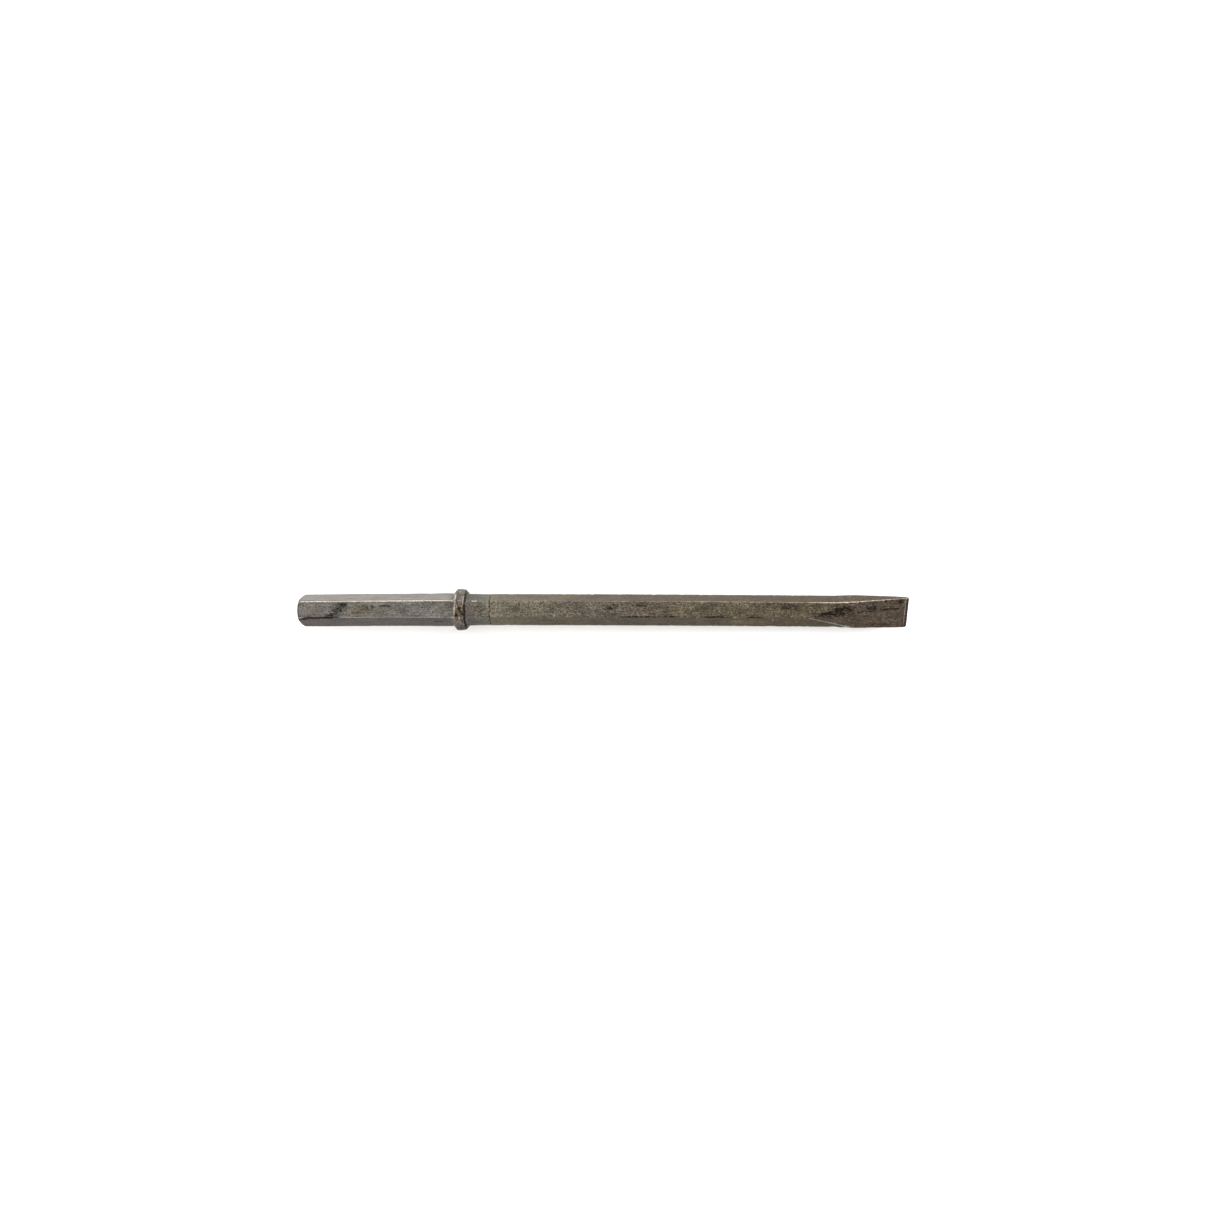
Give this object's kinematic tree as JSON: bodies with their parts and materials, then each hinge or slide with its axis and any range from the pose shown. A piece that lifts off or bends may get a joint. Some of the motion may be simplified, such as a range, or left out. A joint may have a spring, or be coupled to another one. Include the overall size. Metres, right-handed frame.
{
  "type": "hexagonal-shank breaker chisel",
  "caption": "One-piece forged breaker chisel: hexagonal shank with crowned striking end, round retaining collar, long hexagonal bar and flat tapered blade.",
  "frame": {"origin": "centre of the flat middle of the striking face", "axes": "+X along the tool to the cutting edge, +Z the outward normal of one flat of the hexagonal shank, +Y towards a corner of the hexagon"},
  "size_m": [0.6, 0.041, 0.0408],
  "materials": {
    "forged_steel": "as-forged tool steel with tight dark scale, worn bright along its corners"
  },
  "bodies": {
    "root": {"forged_chisel": "forged_steel"}
  },
  "joints": []
}
